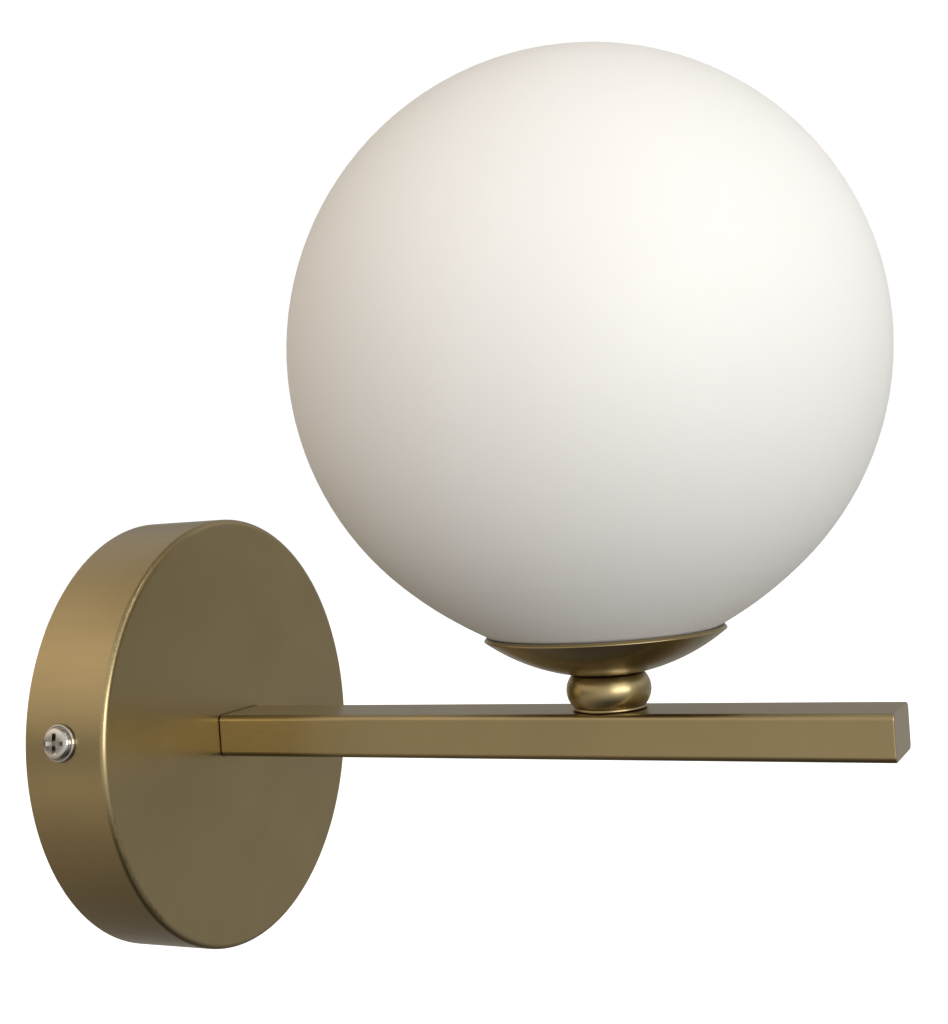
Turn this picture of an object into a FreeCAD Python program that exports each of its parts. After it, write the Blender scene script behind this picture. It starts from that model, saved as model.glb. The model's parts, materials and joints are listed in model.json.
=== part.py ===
import FreeCAD, Part
import math
import os

from FreeCAD import Vector

# Globe wall sconce, in millimetres.
# The origin is on the wall, in the middle of the canopy. +X points out of the wall along the arm,
# +Z points up, and the globe stands on the arm.

# Canopy
canopy_diameter = 120.0
canopy_depth = 25.0
canopy_wall = 1.2
canopy_edge_radius = 1.5
canopy_inner_edge_radius = 0.4

# Arm: a rectangular tube, closed at its far end
arm_length = 184.0
arm_width = 20.0
arm_height = 11.5
arm_wall = 1.2
arm_corner_radius = 1.5
arm_inner_corner_radius = 0.4
arm_cap_thickness = 1.2
arm_cap_plug_length = 4.0
arm_cap_edge_radius = 0.35
arm_seam_rounding = 0.3
arm_block_length = 12.0

# Stack on the arm
globe_axis_reach = 112.0
bead_height = 9.4
bead_radius = 10.75
bead_top_radius = 8.9
bead_foot_radius = 9.6
bead_foot_height = 0.7
bead_foot_step = 0.25
bead_foot_chamfer = 0.3
dish_radius = 30.75
dish_wall = 1.2
dish_flat_radius = 9.5
dish_bowl_radius = 50.0
dish_lip_gap = 0.5
dish_lip_rounding = 0.25

# Globe: a sphere that runs out below into a flatter shoulder and a ground opening
globe_diameter = 150.0
glass_wall = 2.5
shoulder_start_angle = 41.8
shoulder_arc_radius = 100.3
glass_opening_radius = 15.3
glass_edge_radius = 18.1

# Threaded ring on the dish, and the collar cemented in the glass
ring_radius = 12.0
ring_wall = 1.5
ring_floor = 2.65
ring_foot_radius = 9.3
ring_flange_radius = 14.6
ring_height = 11.0
ring_dish_gap = 0.3
collar_thread_gap = 0.3
collar_flange_radius = 17.8
collar_flange = 0.8
collar_height = 11.0
gasket_thickness = 1.0
gasket_gap = 0.2

# Hollow nipple and what it clamps
nipple_radius = 5.0
nipple_bore_radius = 3.5
nipple_end = 0.6
nut_across_flats = 14.0
weld_nut_height = 3.0
lock_nut_height = 3.0
lock_washer_radius = 7.9
lock_washer_height = 1.0

# Lampholder
holder_base_radius = 10.0
holder_strip = 1.0
holder_leg_reach = 9.2
holder_leg_width = 8.0
holder_flange_length = 5.2
holder_height = 13.0
ceramic_radius = 9.8
ceramic_height = 14.0
ceramic_edge = 0.6
holder_screw_offset = 5.9
pin_spacing = 9.0
contact_inner_width = 3.8
contact_inner_depth = 1.6
contact_sheet = 0.5
contact_height = 8.8
contact_start = 2.2
contact_gap = 0.2
crimp_outer_radius = 1.4
crimp_length = 3.0
crimp_end_wall = 0.2

# Bulb
bulb_radius = 8.0
bulb_length = 44.0
bulb_foot_width = 14.5
bulb_foot_depth = 8.0
bulb_foot_height = 3.7
bulb_foot_corner = 1.5
bulb_base_height = 8.7
bulb_base_radius = 7.6
bulb_wall = 1.0
bulb_seat_gap = 0.3
pin_width = 3.2
pin_wire_radius = 0.4
pin_length = 10.5
pin_bend_share = 0.8
led_board_width = 10.0
led_board_thickness = 1.2
led_board_height = 25.0

# The side screws and the bracket's ears are on one line, which is turned about +X by this many degrees
side_screw_turn = -6.5

# Wall bracket
bracket_sheet = 2.0
bracket_width = 16.0
bracket_disc_radius = 16.0
cable_hole_radius = 8.0
bracket_bend_radius = 3.0
ear_width = 14.0
ear_wall_gap = 0.3
ear_edge = 5.0
ear_to_slot = 7.0
slot_width = 4.6
slot_length = 14.0
slot_end_margin = 2.0
tab_width = 22.0
tab_end = 41.0

# Terminal block on the bracket's tab
pole_count = 3
pole_pitch = 10.0
block_drop = 31.0
block_width = 16.0
block_height = 12.0
block_web_height = 4.0
pole_width = 8.6
block_edge_radius = 1.0
insert_radius = 2.2
insert_bore_radius = 1.4
insert_length = 14.0
insert_height = 6.0
terminal_screw_radius = 1.2
terminal_screw_offset = 3.8
terminal_screw_length = 6.2
terminal_slot_width = 0.5
terminal_slot_depth = 0.6

# Screws: shank radius, head radius, head height. The recess and rounding are shares of the head.
canopy_screw = (1.95, 4.1, 1.6)
canopy_screw_length = 10.0
canopy_screw_from_wall = 11.2
canopy_washer_radius = 4.8
canopy_washer_thickness = 0.8
canopy_washer_gap = 0.05
canopy_washer_rounding = 0.3
arm_screw = (1.5, 2.65, 1.9)
arm_screw_length = 9.0
holder_screw = (1.25, 2.1, 1.5)
holder_screw_length = 5.0
block_screw = (1.25, 2.1, 1.5)
block_screw_length = 5.5
earth_screw = (1.95, 3.6, 2.2)
earth_screw_length = 3.4
recess_reach = 0.55
recess_half_width = 0.13
recess_floor = 0.45
head_rounding = 0.5

# Earth terminal on the bracket
earth_reach = 26.0
earth_washer_radius = 3.7
earth_washer_thickness = 0.8
earth_ring_radius = 4.0
earth_ring_thickness = 0.8
earth_barrel_radius = 1.5
earth_barrel_length = 5.0

# Leads and grommet
lead_radius = 0.75
lead_pair_offset = 0.85
lead_nipple_offset = 2.0
lead_floor_gap = 0.65
lead_largest_bend = 7.0
lead_bend_share = 0.45
lead_rise = 3.0
lead_gather_height = -13.0
lead_past_block = 3.0
lead_slope = 15.0
lead_above_nipple = 0.6
lead_below_crimp = 1.0
earth_lead_turn_height = -12.0
earth_lead_lean = 1.0
earth_lead_grip = 3.0
grommet_bore_radius = 1.75
grommet_sleeve_radius = 2.1
grommet_flange_radius = 2.6
grommet_flange = 1.0
grommet_nose = 2.0

# Clearances
thread_gap = 0.05
bolt_gap = 0.15
seat_gap = 0.05
screw_hole_gap = 0.3
neighbour_gap = 0.15

# How far a cut runs past the face that it opens, how near two heights count as the same, and how
# near to 1 the cosine between an edge and an axis is for the edge to run along the axis
past = 1.0
tiny = 0.01
along_cosine = 0.999

# Planes and places worked out from the sizes above
canopy_radius = canopy_diameter / 2
canopy_inner_radius = canopy_radius - canopy_wall
canopy_inside = canopy_depth - canopy_wall
arm_end = canopy_depth + arm_length
arm_tube_end = arm_end - arm_cap_thickness
arm_inner_width = arm_width - 2 * arm_wall
arm_inner_height = arm_height - 2 * arm_wall
arm_top = arm_height / 2
arm_screw_offset = grommet_flange_radius + arm_screw[1] + neighbour_gap
axis_x = canopy_depth + globe_axis_reach

dish_seat = arm_top + bead_height
ring_seat = dish_seat + dish_wall
ring_floor_top = ring_seat + ring_floor
gasket_top = ring_floor_top + gasket_thickness
glass_seat = gasket_top + collar_flange
nipple_bottom = arm_top - arm_wall - weld_nut_height - nipple_end
holder_base_top = ring_floor_top + holder_strip
lock_nut_seat = holder_base_top + lock_washer_height
nipple_top = lock_nut_seat + lock_nut_height + nipple_end
ceramic_seat = ring_floor_top + holder_height
ceramic_top = ceramic_seat + ceramic_height
bulb_seat = ceramic_top + bulb_seat_gap

ear_outside = math.sqrt(canopy_inner_radius ** 2 - (ear_width / 2) ** 2) - ear_wall_gap
ear_inside = ear_outside - bracket_sheet
ear_reach = canopy_screw_from_wall + ear_edge
slot_centre = ear_inside - ear_to_slot - slot_length / 2

UP = Vector(0, 0, 1)
OUT = Vector(1, 0, 0)


# Shape helpers

def box(low, high):
    low, high = Vector(*low), Vector(*high)
    size = high - low
    return Part.makeBox(size.x, size.y, size.z, low)


def rod(radius, start, end):
    start, end = Vector(*start), Vector(*end)
    return Part.makeCylinder(radius, (end - start).Length, start, end - start)


def joined(shapes):
    return shapes[0].multiFuse(shapes[1:]).removeSplitter()


def rounded(shape, radius, wanted):
    # rounds the straight or round edges that the test picks
    return shape.makeFillet(radius, [edge for edge in shape.Edges if wanted(edge)])


def along(axis):
    # picks the straight edges that run along one axis
    def wanted(edge):
        if edge.Curve.TypeId != "Part::GeomLine":
            return False
        return abs(edge.tangentAt(edge.FirstParameter).dot(axis)) > along_cosine
    return wanted


def bent_edges(points, bends, closed=False):
    # straight runs between the points, joined by an arc of the given radius at each bend
    points = [Vector(*point) for point in points]
    count = len(points)
    corners = range(count) if closed else range(1, count - 1)
    leave = {i: points[i] for i in range(count)}
    reach = dict(leave)
    arcs = {}
    for i in corners:
        before = (points[i - 1] - points[i]).normalize()
        after = (points[(i + 1) % count] - points[i]).normalize()
        half = before.getAngle(after) / 2
        radius = bends[i]
        if not radius:
            continue
        setback = radius / math.tan(half)
        reach[i] = points[i] + before * setback
        leave[i] = points[i] + after * setback
        middle = (before + after).normalize()
        through = points[i] + middle * (radius / math.sin(half) - radius)
        arcs[i] = Part.Arc(reach[i], through, leave[i]).toShape()
    edges = []
    for i in range(count if closed else count - 1):
        after = (i + 1) % count
        if i in arcs:
            edges.append(arcs[i])
        if (reach[after] - leave[i]).Length > tiny:
            edges.append(Part.LineSegment(leave[i], reach[after]).toShape())
    return edges


def plate(points, bends, depth):
    # flat outline with rounded corners, pushed along depth
    return Part.Face(Part.Wire(bent_edges(points, bends, closed=True))).extrude(Vector(*depth))


def turned(start, steps):
    # body of revolution about the globe's axis. Each point is (radius, height). A step is a point
    # for a straight run, or a pair of points, through and end, for an arc.
    def place(point):
        return Vector(axis_x + point[0], 0, point[1])
    edges = []
    here = start
    for step in list(steps) + [start]:
        if isinstance(step[0], tuple):
            through, end = step
            edges.append(Part.Arc(place(here), place(through), place(end)).toShape())
        else:
            end = step
            edges.append(Part.LineSegment(place(here), place(end)).toShape())
        here = end
    face = Part.Face(Part.Wire(edges))
    return face.revolve(Vector(axis_x, 0, 0), UP, 360)


def on_circle(centre, radius, angle):
    # angle in degrees, from straight down towards the outside
    turn = math.radians(angle)
    return (centre[0] + radius * math.sin(turn), centre[1] - radius * math.cos(turn))


def placed(shape, position, direction):
    # a part made along +Z is stood at position along direction
    shape = shape.copy()
    shape.Placement = FreeCAD.Placement(Vector(*position), FreeCAD.Rotation(UP, Vector(*direction)))
    return shape


def on_screw_line(shape):
    # turns what is made along Y to the line of the side screws
    shape = shape.copy()
    shape.rotate(Vector(0, 0, 0), OUT, side_screw_turn)
    return shape


def cross_recess(head_radius, head_height):
    arm = recess_reach * head_radius
    half = recess_half_width * head_radius
    floor = recess_floor * head_height
    return joined([
        box((-arm, -half, floor), (arm, half, head_height + past)),
        box((-half, -arm, floor), (half, arm, head_height + past)),
    ])


def pan_screw(sizes, length):
    # cross-recess pan head above z = 0, shank below it
    shank_radius, head_radius, head_height = sizes
    head = Part.makeCylinder(head_radius, head_height)
    head = rounded(head, head_rounding * head_height,
                   lambda edge: edge.CenterOfMass.z > head_height - tiny)
    shank = Part.makeCylinder(shank_radius, length, Vector(0, 0, -length))
    return joined([head, shank]).cut(cross_recess(head_radius, head_height))


def washer(outer, inner, thickness):
    return Part.makeCylinder(outer, thickness).cut(Part.makeCylinder(inner, thickness))


def hex_nut(height, bore):
    # flats face +X and -X
    corner = nut_across_flats / 2 / math.cos(math.radians(30))
    turns = [math.radians(30 + 60 * step) for step in range(6)]
    corners = [Vector(corner * math.cos(turn), corner * math.sin(turn), 0) for turn in turns]
    prism = Part.Face(Part.makePolygon(corners + corners[:1])).extrude(Vector(0, 0, height))
    return prism.cut(Part.makeCylinder(bore, height))


# Canopy and wall bracket

def canopy_shell():
    outline = [
        (0, canopy_radius, 0),
        (canopy_depth, canopy_radius, 0),
        (canopy_depth, 0, 0),
        (canopy_inside, 0, 0),
        (canopy_inside, canopy_inner_radius, 0),
        (0, canopy_inner_radius, 0),
    ]
    bends = [0, canopy_edge_radius, 0, 0, canopy_inner_edge_radius, 0]
    face = Part.Face(Part.Wire(bent_edges(outline, bends, closed=True)))
    shell = face.revolve(Vector(0, 0, 0), OUT, 360)
    side_hole = canopy_screw[0] + screw_hole_gap
    holes = [
        on_screw_line(rod(side_hole, (canopy_screw_from_wall, -canopy_radius - past, 0),
                          (canopy_screw_from_wall, canopy_radius + past, 0))),
        rod(grommet_sleeve_radius + seat_gap, (canopy_inside - past, 0, 0), (canopy_depth + past, 0, 0)),
    ]
    for side in (-1, 1):
        y = side * arm_screw_offset
        holes.append(rod(arm_screw[0] + bolt_gap, (canopy_inside - past, y, 0),
                         (canopy_depth + past, y, 0)))
    return shell.cut(holes)


def bracket_strip():
    # strip with both ends bent out of the wall plane
    half = ear_width / 2
    outside = [
        (ear_reach, -ear_outside, -half),
        (0, -ear_outside, -half),
        (0, ear_outside, -half),
        (ear_reach, ear_outside, -half),
        (ear_reach, ear_inside, -half),
        (bracket_sheet, ear_inside, -half),
        (bracket_sheet, -ear_inside, -half),
        (ear_reach, -ear_inside, -half),
    ]
    inner_bend = bracket_bend_radius - bracket_sheet
    bends = [0, bracket_bend_radius, bracket_bend_radius, 0, 0, inner_bend, inner_bend, 0]
    return on_screw_line(plate(outside, bends, (0, 0, ear_width)))


def wall_slot(side):
    near = side * slot_centre - (slot_length - slot_width) / 2
    far = side * slot_centre + (slot_length - slot_width) / 2
    half = slot_width / 2
    return joined([
        box((-past, near, -half), (bracket_sheet + past, far, half)),
        rod(half, (-past, near, 0), (bracket_sheet + past, near, 0)),
        rod(half, (-past, far, 0), (bracket_sheet + past, far, 0)),
    ])


def wall_bracket():
    strap_end = slot_centre + slot_length / 2 + slot_end_margin
    body = joined([
        bracket_strip(),
        box((0, -strap_end, -bracket_width / 2), (bracket_sheet, strap_end, bracket_width / 2)),
        rod(bracket_disc_radius, (0, 0, 0), (bracket_sheet, 0, 0)),
        box((0, -tab_width / 2, -tab_end), (bracket_sheet, tab_width / 2, 0)),
    ])
    holes = [
        wall_slot(-1),
        wall_slot(1),
        rod(cable_hole_radius, (-past, 0, 0), (bracket_sheet + past, 0, 0)),
        on_screw_line(rod(canopy_screw[0] + thread_gap, (canopy_screw_from_wall, -canopy_radius, 0),
                          (canopy_screw_from_wall, canopy_radius, 0))),
        rod(earth_screw[0] + thread_gap, (-past, -earth_reach, 0),
            (bracket_sheet + past, -earth_reach, 0)),
        rod(block_screw[0] + thread_gap, (-past, pole_pitch / 2, -block_drop),
            (bracket_sheet + past, pole_pitch / 2, -block_drop)),
    ]
    return body.cut(holes)


def canopy_washer(side):
    ring = washer(canopy_washer_radius, canopy_screw[0] + bolt_gap, canopy_washer_thickness)
    ring = rounded(ring, canopy_washer_rounding,
                   lambda edge: edge.CenterOfMass.z > canopy_washer_thickness - tiny
                   and edge.Curve.Radius > canopy_washer_radius - tiny)
    seat = canopy_radius + canopy_washer_gap
    return on_screw_line(placed(ring, (canopy_screw_from_wall, side * seat, 0), (0, side, 0)))


def canopy_side_screw(side):
    seat = canopy_radius + canopy_washer_gap + canopy_washer_thickness
    return on_screw_line(placed(pan_screw(canopy_screw, canopy_screw_length),
                                (canopy_screw_from_wall, side * seat, 0), (0, side, 0)))


# Terminal block, earth point

def pole_places():
    first = -pole_pitch * (pole_count - 1) / 2
    return [first + pole_pitch * pole for pole in range(pole_count)]


def terminal_block_body():
    low, high = -block_drop - block_width / 2, -block_drop + block_width / 2
    end = pole_places()[-1] + pole_width / 2
    web_top = bracket_sheet + block_web_height
    shapes = [box((bracket_sheet, -end, low), (web_top, end, high))]
    for y in pole_places():
        tower = box((bracket_sheet, y - pole_width / 2, low),
                    (bracket_sheet + block_height, y + pole_width / 2, high))
        shapes.append(rounded(tower, block_edge_radius, lambda edge: along(UP)(edge)
                              and edge.CenterOfMass.x > bracket_sheet + tiny))
    body = joined(shapes)
    cuts = []
    axis = bracket_sheet + insert_height
    for y in pole_places():
        cuts.append(rod(insert_radius + seat_gap, (axis, y, low - past), (axis, y, high + past)))
        for side in (-1, 1):
            z = -block_drop + side * terminal_screw_offset
            cuts.append(rod(terminal_screw_radius + bolt_gap, (axis, y, z),
                            (bracket_sheet + block_height + past, y, z)))
    y = pole_pitch / 2
    cuts.append(rod(block_screw[0] + bolt_gap, (bracket_sheet - past, y, -block_drop),
                    (web_top + past, y, -block_drop)))
    cuts.append(rod(block_screw[1] + bolt_gap, (web_top, y, -block_drop),
                    (bracket_sheet + block_height + past, y, -block_drop)))
    return body.cut(cuts)


def terminal_inserts():
    axis = bracket_sheet + insert_height
    low, high = -block_drop - insert_length / 2, -block_drop + insert_length / 2
    inserts = []
    for y in pole_places():
        tube = rod(insert_radius, (axis, y, low), (axis, y, high))
        tube = tube.cut(rod(insert_bore_radius, (axis, y, low), (axis, y, high)))
        for side in (-1, 1):
            z = -block_drop + side * terminal_screw_offset
            tube = tube.cut(rod(terminal_screw_radius + thread_gap, (axis, y, z),
                                (axis + 2 * insert_radius, y, z)))
        inserts.append(tube)
    return Part.makeCompound(inserts)


def terminal_screws():
    tip = bracket_sheet + insert_height + lead_radius + seat_gap
    top = tip + terminal_screw_length
    screws = []
    for y in pole_places():
        for side in (-1, 1):
            z = -block_drop + side * terminal_screw_offset
            half = terminal_slot_width / 2
            screw = rod(terminal_screw_radius, (tip, y, z), (top, y, z))
            slot = box((top - terminal_slot_depth, y - terminal_screw_radius, z - half),
                       (top + past, y + terminal_screw_radius, z + half))
            screws.append(screw.cut(slot))
    return Part.makeCompound(screws)


def terminal_block_screw():
    seat = bracket_sheet + block_web_height
    return placed(pan_screw(block_screw, block_screw_length), (seat, pole_pitch / 2, -block_drop), OUT)


def earth_ring_terminal():
    # flat ring on the bracket, and a barrel that takes the lead from the bracket's middle
    outer = bracket_sheet + earth_ring_thickness
    barrel_axis = bracket_sheet + earth_barrel_radius + lead_floor_gap
    ring = rod(earth_ring_radius, (bracket_sheet, -earth_reach, 0), (outer, -earth_reach, 0))
    barrel_start = -earth_reach + earth_ring_radius
    tongue = box((bracket_sheet, -earth_reach, -earth_barrel_radius),
                 (outer, barrel_start + earth_barrel_length, earth_barrel_radius))
    riser = box((bracket_sheet, barrel_start, -earth_barrel_radius / 2),
                (barrel_axis, barrel_start + earth_barrel_length, earth_barrel_radius / 2))
    barrel = rod(earth_barrel_radius, (barrel_axis, barrel_start, 0),
                 (barrel_axis, barrel_start + earth_barrel_length, 0))
    body = joined([ring, tongue, riser, barrel])
    return body.cut([
        rod(earth_screw[0] + bolt_gap, (0, -earth_reach, 0), (outer + past, -earth_reach, 0)),
        rod(lead_radius + seat_gap, (barrel_axis, barrel_start - past, 0),
            (barrel_axis, barrel_start + earth_barrel_length + past, 0)),
    ])


def earth_washer():
    ring = washer(earth_washer_radius, earth_screw[0] + bolt_gap, earth_washer_thickness)
    return placed(ring, (bracket_sheet + earth_ring_thickness, -earth_reach, 0), OUT)


def earth_point_screw():
    seat = bracket_sheet + earth_ring_thickness + earth_washer_thickness
    return placed(pan_screw(earth_screw, earth_screw_length), (seat, -earth_reach, 0), OUT)


# Arm

def bar(start, end, width, height, corner):
    solid = box((start, -width / 2, -height / 2), (end, width / 2, height / 2))
    return rounded(solid, corner, along(OUT))


def arm_tube():
    tube = bar(canopy_depth, arm_tube_end, arm_width, arm_height, arm_corner_radius)
    tube = rounded(tube, arm_seam_rounding, lambda edge: edge.CenterOfMass.x < canopy_depth + tiny)
    tube = tube.cut(bar(canopy_depth - past, arm_tube_end + past, arm_inner_width, arm_inner_height,
                        arm_inner_corner_radius))
    return tube.cut(rod(nipple_radius + bolt_gap, (axis_x, 0, 0), (axis_x, 0, arm_height)))


def arm_end_cap():
    lid = bar(arm_tube_end, arm_end, arm_width, arm_height, arm_corner_radius)
    lid = rounded(lid, arm_cap_edge_radius, lambda edge: edge.CenterOfMass.x > arm_end - tiny)
    plug = bar(arm_tube_end - arm_cap_plug_length, arm_tube_end, arm_inner_width - 2 * seat_gap,
               arm_inner_height - 2 * seat_gap, arm_inner_corner_radius)
    return joined([lid, plug])


def arm_end_block():
    block = bar(canopy_depth, canopy_depth + arm_block_length, arm_inner_width - 2 * seat_gap,
                arm_inner_height - 2 * seat_gap, arm_inner_corner_radius)
    last = canopy_depth + arm_block_length + past
    holes = [rod(grommet_sleeve_radius + seat_gap, (canopy_depth - past, 0, 0), (last, 0, 0))]
    for side in (-1, 1):
        y = side * arm_screw_offset
        holes.append(rod(arm_screw[0] + thread_gap, (canopy_depth - past, y, 0), (last, y, 0)))
    return block.cut(holes)


def arm_fixing_screws():
    screws = [placed(pan_screw(arm_screw, arm_screw_length),
                     (canopy_inside, side * arm_screw_offset, 0), (-1, 0, 0)) for side in (-1, 1)]
    return Part.makeCompound(screws)


def wire_grommet():
    body = joined([
        rod(grommet_flange_radius, (canopy_inside - grommet_flange, 0, 0), (canopy_inside, 0, 0)),
        rod(grommet_sleeve_radius, (canopy_inside - grommet_flange, 0, 0),
            (canopy_depth + grommet_nose, 0, 0)),
    ])
    return body.cut(rod(grommet_bore_radius, (0, 0, 0), (canopy_depth + arm_length, 0, 0)))


# Stack on the globe's axis

def arm_weld_nut():
    nut = hex_nut(weld_nut_height, nipple_radius + thread_gap)
    nut.translate(Vector(axis_x, 0, arm_top - arm_wall - weld_nut_height))
    return nut


def threaded_nipple():
    return turned((nipple_bore_radius, nipple_bottom), [
        (nipple_radius, nipple_bottom), (nipple_radius, nipple_top), (nipple_bore_radius, nipple_top)])


def bead_spacer():
    bore = nipple_radius + bolt_gap
    foot_top = arm_top + bead_foot_height
    waist = bead_foot_radius - bead_foot_step
    middle = (foot_top + dish_seat) / 2
    return turned((bore, arm_top), [
        (bead_foot_radius - bead_foot_chamfer, arm_top),
        (bead_foot_radius, arm_top + bead_foot_chamfer),
        (waist, foot_top),
        ((bead_radius, middle), (bead_top_radius, dish_seat)),
        (bore, dish_seat)])


def shoulder_centre(globe_centre):
    # centre of the shoulder's arc, which leaves the sphere smoothly at its start angle
    start = on_circle((0, globe_centre), globe_diameter / 2, shoulder_start_angle)
    turn = math.radians(shoulder_start_angle)
    return (start[0] - shoulder_arc_radius * math.sin(turn),
            start[1] + shoulder_arc_radius * math.cos(turn))


def shoulder_height(centre, arc_radius, radius):
    return centre[1] - math.sqrt(arc_radius ** 2 - (radius - centre[0]) ** 2)


# The globe stands with its ground edge on the collar's flange
globe_centre = glass_seat - shoulder_height(shoulder_centre(0), shoulder_arc_radius, glass_edge_radius)
shoulder = shoulder_centre(globe_centre)


def dish_bowl():
    # centre of the bowl's arc, and the angles where it starts and ends
    start = (dish_flat_radius, dish_seat)
    lip = shoulder_height(shoulder, shoulder_arc_radius, dish_radius) - dish_lip_gap - dish_wall
    end = (dish_radius, lip)
    across, rise = end[0] - start[0], end[1] - start[1]
    chord = math.hypot(across, rise)
    inward = math.sqrt(dish_bowl_radius ** 2 - chord ** 2 / 4)
    centre = ((start[0] + end[0]) / 2 - rise / chord * inward,
              (start[1] + end[1]) / 2 + across / chord * inward)
    first = math.degrees(math.atan2(start[0] - centre[0], centre[1] - start[1]))
    last = math.degrees(math.atan2(end[0] - centre[0], centre[1] - end[1]))
    return centre, first, last


def dish_inside(radius):
    centre = dish_bowl()[0]
    return centre[1] - math.sqrt((dish_bowl_radius - dish_wall) ** 2 - (radius - centre[0]) ** 2)


def dish():
    centre, first, last = dish_bowl()
    inner_radius = dish_bowl_radius - dish_wall
    inner_first = math.degrees(math.acos((centre[1] - ring_seat) / inner_radius))
    bore = nipple_radius + bolt_gap
    bowl = turned((bore, dish_seat), [
        (dish_flat_radius, dish_seat),
        (on_circle(centre, dish_bowl_radius, (first + last) / 2), on_circle(centre, dish_bowl_radius, last)),
        on_circle(centre, inner_radius, last),
        (on_circle(centre, inner_radius, (inner_first + last) / 2),
         on_circle(centre, inner_radius, inner_first)),
        (bore, ring_seat)])
    lip = on_circle(centre, dish_bowl_radius, last)[1] - tiny
    return rounded(bowl, dish_lip_rounding, lambda edge: edge.CenterOfMass.z > lip
                   and edge.Curve.TypeId == "Part::GeomCircle")


def globe_ring():
    bore = nipple_radius + bolt_gap
    top = ring_floor_top + ring_height
    return turned((bore, ring_seat), [
        (ring_foot_radius, ring_seat),
        (ring_flange_radius, dish_inside(ring_flange_radius) + ring_dish_gap),
        (ring_flange_radius, ring_floor_top),
        (ring_radius, ring_floor_top),
        (ring_radius, top),
        (ring_radius - ring_wall, top),
        (ring_radius - ring_wall, ring_floor_top),
        (bore, ring_floor_top)])


def globe_gasket():
    return turned((ring_radius + gasket_gap, ring_floor_top), [
        (ring_flange_radius, ring_floor_top), (ring_flange_radius, gasket_top),
        (ring_radius + gasket_gap, gasket_top)])


def globe_collar():
    bore = ring_radius + collar_thread_gap
    outside = glass_opening_radius - screw_hole_gap
    top = gasket_top + collar_height
    return turned((bore, gasket_top), [
        (collar_flange_radius, gasket_top), (collar_flange_radius, glass_seat),
        (outside, glass_seat), (outside, top), (bore, top)])


def shoulder_angle(arc_radius, end_radius):
    return math.degrees(math.asin((end_radius - shoulder[0]) / arc_radius))


def globe_glass():
    radius = globe_diameter / 2
    middle = (0, globe_centre)
    inner, inner_arc = radius - glass_wall, shoulder_arc_radius - glass_wall
    edge_angle = shoulder_angle(shoulder_arc_radius, glass_edge_radius)
    hole_angle = shoulder_angle(inner_arc, glass_opening_radius)
    start = shoulder_start_angle
    return turned((0, globe_centre + radius), [
        (on_circle(middle, radius, 90 + start / 2), on_circle(middle, radius, start)),
        (on_circle(shoulder, shoulder_arc_radius, (start + edge_angle) / 2),
         (glass_edge_radius, glass_seat)),
        (glass_opening_radius, glass_seat),
        on_circle(shoulder, inner_arc, hole_angle),
        (on_circle(shoulder, inner_arc, (start + hole_angle) / 2), on_circle(middle, inner, start)),
        (on_circle(middle, inner, 90 + start / 2), (0, globe_centre + inner))])


# Lampholder

def lampholder_bracket():
    # round base under the lock nut, two legs, and two flanges that carry the ceramic
    top = ceramic_seat
    half = holder_leg_width / 2
    shapes = [rod(holder_base_radius, (axis_x, 0, ring_floor_top), (axis_x, 0, holder_base_top))]
    cuts = [rod(nipple_radius + bolt_gap, (axis_x, 0, 0), (axis_x, 0, holder_base_top + past))]
    for side in (-1, 1):
        outer = axis_x + side * holder_leg_reach
        inner = outer - side * holder_strip
        end = outer - side * holder_flange_length
        shapes.append(box((min(outer, inner), -half, ring_floor_top), (max(outer, inner), half, top)))
        shapes.append(box((min(outer, end), -half, top - holder_strip), (max(outer, end), half, top)))
        x = axis_x + side * holder_screw_offset
        cuts.append(rod(holder_screw[0] + bolt_gap, (x, 0, top - 2 * holder_strip), (x, 0, top + past)))
    return joined(shapes).cut(cuts)


def lock_washer():
    ring = washer(lock_washer_radius, nipple_radius + bolt_gap, lock_washer_height)
    ring.translate(Vector(axis_x, 0, holder_base_top))
    return ring


def lock_nut():
    nut = hex_nut(lock_nut_height, nipple_radius + thread_gap)
    nut.translate(Vector(axis_x, 0, lock_nut_seat))
    return nut


def holder_screws():
    screws = [placed(pan_screw(holder_screw, holder_screw_length),
                     (axis_x + side * holder_screw_offset, 0, ceramic_seat - holder_strip), (0, 0, -1))
              for side in (-1, 1)]
    return Part.makeCompound(screws)


def ceramic_body():
    body = Part.makeCylinder(ceramic_radius, ceramic_height, Vector(axis_x, 0, ceramic_seat))
    body = body.makeChamfer(ceramic_edge, [edge for edge in body.Edges
                                           if edge.CenterOfMass.z > ceramic_top - tiny])
    pocket_width = contact_inner_width + 2 * (contact_sheet + contact_gap)
    pocket_depth = contact_inner_depth + 2 * (contact_sheet + contact_gap)
    pocket_top = ceramic_seat + contact_start + contact_height + contact_gap
    cuts = []
    for side in (-1, 1):
        y = side * pin_spacing / 2
        cuts.append(box((axis_x - pocket_depth / 2, y - pocket_width / 2, ceramic_seat - past),
                        (axis_x + pocket_depth / 2, y + pocket_width / 2, pocket_top)))
        cuts.append(box((axis_x - contact_inner_depth / 2, y - contact_inner_width / 2, pocket_top - past),
                        (axis_x + contact_inner_depth / 2, y + contact_inner_width / 2,
                         ceramic_top + past)))
        x = axis_x + side * holder_screw_offset
        cuts.append(rod(holder_screw[0] + thread_gap, (x, 0, ceramic_seat - past),
                        (x, 0, ceramic_seat + holder_screw_length)))
    return body.cut(cuts)


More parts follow.
